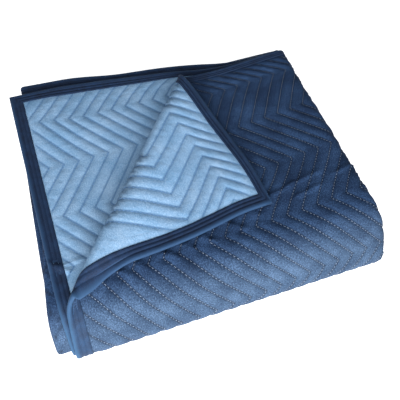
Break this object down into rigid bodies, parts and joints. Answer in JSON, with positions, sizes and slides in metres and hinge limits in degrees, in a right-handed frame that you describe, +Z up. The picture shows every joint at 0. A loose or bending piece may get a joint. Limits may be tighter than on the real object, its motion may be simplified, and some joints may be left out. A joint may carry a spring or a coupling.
{
  "type": "folded quilted moving blanket",
  "caption": "Quilted padded blanket with zigzag stitching and taped edges, folded into a flat rectangular pack with one corner turned over.",
  "frame": {"origin": "centre of the folded pack's footprint, on the surface that it lies on", "axes": "+Z up; +Y towards the back, where the bound edges of the layers lie; +X towards the right, where the layers fold over"},
  "size_m": [0.5258, 0.4958, 0.1227],
  "materials": {
    "quilted_pad": "matte",
    "edge_binding": "satin"
  },
  "bodies": {
    "root": {"quilted_pad": "quilted_pad", "edge_binding": "edge_binding"}
  },
  "joints": []
}
